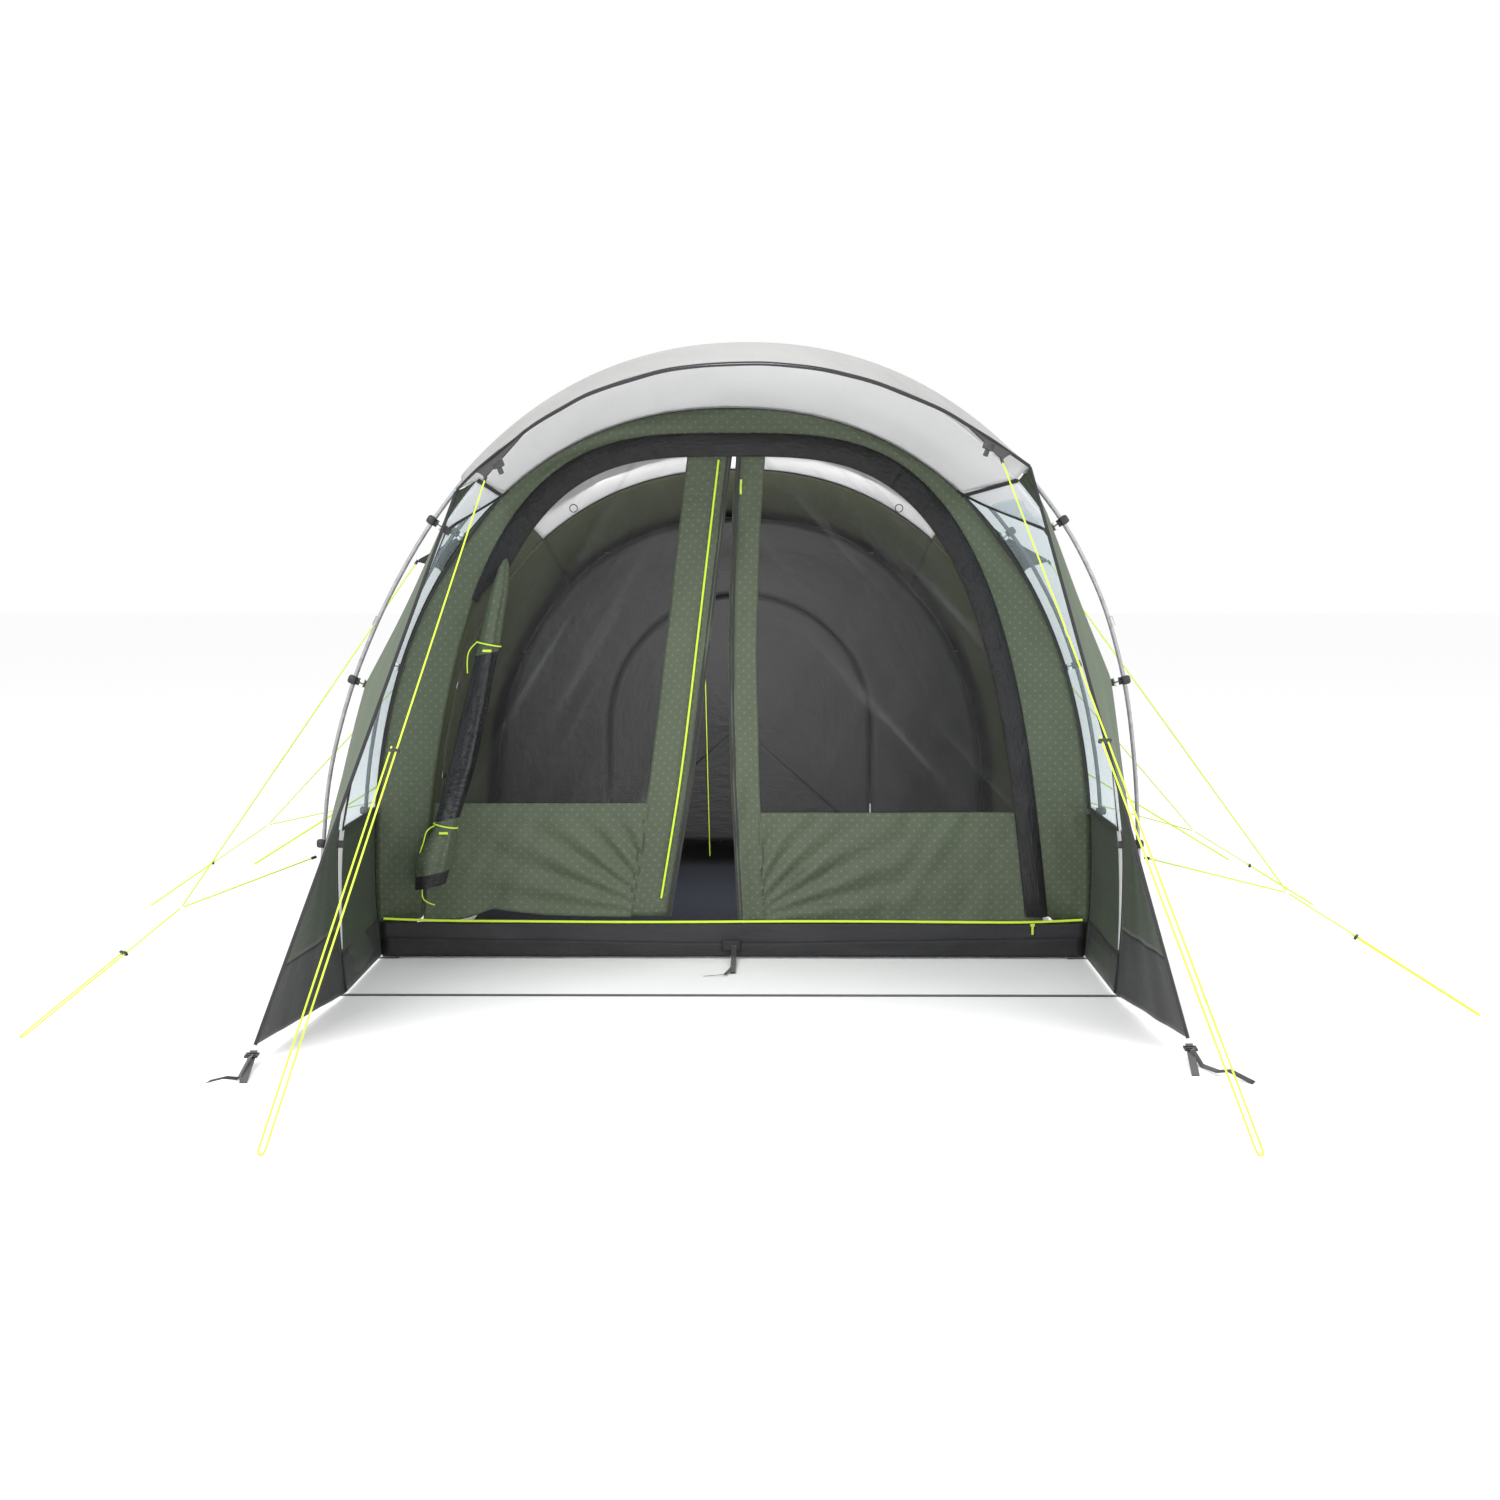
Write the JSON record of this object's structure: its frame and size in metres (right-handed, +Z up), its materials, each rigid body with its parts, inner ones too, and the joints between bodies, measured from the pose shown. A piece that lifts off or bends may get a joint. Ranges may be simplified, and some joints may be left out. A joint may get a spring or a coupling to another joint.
{
  "type": "tunnel camping tent",
  "caption": "Tunnel tent on external arched poles with a visor porch, windowed sides, an arched insect-mesh double door, a dark bedroom inside and guy lines.",
  "frame": {"origin": "on the ground at the centre of the tent's footprint, guy lines left out", "axes": "+X to the right of the door seen from in front, +Y to the rear, +Z up; the door faces -Y"},
  "size_m": [4.4305, 6.3402, 1.9282],
  "materials": {
    "pole_metal": "brushed satin",
    "pole_blue": "anodised dark blue-grey",
    "ferrule_metal": "satin",
    "ring_steel": "zinc plated",
    "black_plastic": "moulded",
    "grey_cloth": "coated plain weave",
    "green_cloth": "coated ripstop with dots",
    "window_film": "clear foil",
    "black_cloth": "gathered coated cloth",
    "mesh": "insect mesh",
    "rolled_cloth": "rolled cloth and foil",
    "lime_cord": "braided",
    "inner_cloth": "dark breathable cloth",
    "floor_cloth": "coated ground cloth",
    "webbing": "woven",
    "lime_plastic": "moulded"
  },
  "bodies": {
    "tent": {"pole_a": "pole_metal", "pole_ferrules": "ferrule_metal", "foot_rings": "ring_steel", "pole_clips": "black_plastic", "pole_b": "pole_blue", "pole_c": "pole_metal", "pole_d": "pole_metal", "roof_front": "grey_cloth", "roof_living": "grey_cloth", "roof_bedroom": "green_cloth", "rear_panel": "green_cloth", "window_left": "window_film", "porch_side_left": "green_cloth", "living_side_left": "green_cloth", "bedroom_side_left": "green_cloth", "window_right": "window_film", "porch_side_right": "green_cloth", "living_side_right": "green_cloth", "bedroom_side_right": "green_cloth", "visor": "grey_cloth", "wing_left": "green_cloth", "wing_right": "green_cloth", "front_wall": "green_cloth", "door_sill": "black_cloth", "storm_flap": "black_cloth", "rolled_outer_door": "rolled_cloth", "roll_ties": "lime_cord", "inner_shell": "inner_cloth", "inner_front": "inner_cloth", "groundsheet": "floor_cloth", "hanger_toggles": "black_plastic", "base_straps": "webbing", "corner_webbing": "webbing", "corner_adjusters": "black_plastic", "guy_line_front_left": "lime_cord", "guy_eyelets": "black_plastic", "guy_line_1_left": "lime_cord", "guy_line_2_left": "lime_cord", "guy_line_3_left": "lime_cord", "guy_v_1_left": "lime_cord", "guy_v_2_left": "lime_cord", "guy_line_front_right": "lime_cord", "guy_line_1_right": "lime_cord", "guy_line_2_right": "lime_cord", "guy_line_3_right": "lime_cord", "guy_v_1_right": "lime_cord", "guy_v_2_right": "lime_cord"},
    "mesh_door_left": {"mesh_door_left": "mesh"},
    "mesh_door_right": {"mesh_door_right": "mesh"},
    "bedroom_door": {"inner_door": "inner_cloth"},
    "door_slider": {"door_zip_slider": "lime_plastic"},
    "sill_slider": {"sill_zip_slider": "lime_plastic"},
    "runner_front_left": {"runner_front_left": "black_plastic"},
    "runner_1_left": {"runner_1_left": "black_plastic"},
    "runner_2_left": {"runner_2_left": "black_plastic"},
    "runner_3_left": {"runner_3_left": "black_plastic"},
    "runner_front_right": {"runner_front_right": "black_plastic"},
    "runner_1_right": {"runner_1_right": "black_plastic"},
    "runner_2_right": {"runner_2_right": "black_plastic"},
    "runner_3_right": {"runner_3_right": "black_plastic"}
  },
  "joints": [
    {"name": "mesh_door_left_swing", "type": "hinge", "parent": "tent", "child": "mesh_door_left", "pos_m": [-1.022, -1.202, 0.12], "axis": [0, 0, 1], "range_deg": [0, 28]},
    {"name": "mesh_door_right_swing", "type": "hinge", "parent": "tent", "child": "mesh_door_right", "pos_m": [1.022, -1.202, 0.12], "axis": [0, 0, -1], "range_deg": [0, 28]},
    {"name": "bedroom_door_swing", "type": "hinge", "parent": "tent", "child": "bedroom_door", "pos_m": [-0.56, 0.797, 0.12], "axis": [0, 0, 1], "range_deg": [0, 70]},
    {"name": "door_slider_slide", "type": "slide", "parent": "mesh_door_right", "child": "door_slider", "axis": [0, 0, -1], "range_m": [0, 1.35]},
    {"name": "sill_slider_slide", "type": "slide", "parent": "tent", "child": "sill_slider", "axis": [-1, 0, 0], "range_m": [0, 1.9]},
    {"name": "runner_front_left_slide", "type": "slide", "parent": "tent", "child": "runner_front_left", "axis": [-0.143, -0.6757, -0.7232], "range_m": [-0.15, 0.35]},
    {"name": "runner_1_left_slide", "type": "slide", "parent": "tent", "child": "runner_1_left", "axis": [-0.5933, -0.6112, -0.5239], "range_m": [-0.12, 0.22]},
    {"name": "runner_2_left_slide", "type": "slide", "parent": "tent", "child": "runner_2_left", "axis": [-0.8039, -0.1995, -0.5603], "range_m": [-0.1, 0.12]},
    {"name": "runner_3_left_slide", "type": "slide", "parent": "tent", "child": "runner_3_left", "axis": [-0.776, -0.3918, -0.4942], "range_m": [-0.15, 0.35]},
    {"name": "runner_front_right_slide", "type": "slide", "parent": "tent", "child": "runner_front_right", "axis": [0.1944, -0.6547, -0.7305], "range_m": [-0.15, 0.35]},
    {"name": "runner_1_right_slide", "type": "slide", "parent": "tent", "child": "runner_1_right", "axis": [0.7936, -0.342, -0.5033], "range_m": [-0.12, 0.22]},
    {"name": "runner_2_right_slide", "type": "slide", "parent": "tent", "child": "runner_2_right", "axis": [0.8395, -0.1695, -0.5162], "range_m": [-0.1, 0.12]},
    {"name": "runner_3_right_slide", "type": "slide", "parent": "tent", "child": "runner_3_right", "axis": [0.8235, -0.2676, -0.5002], "range_m": [-0.15, 0.35]}
  ]
}
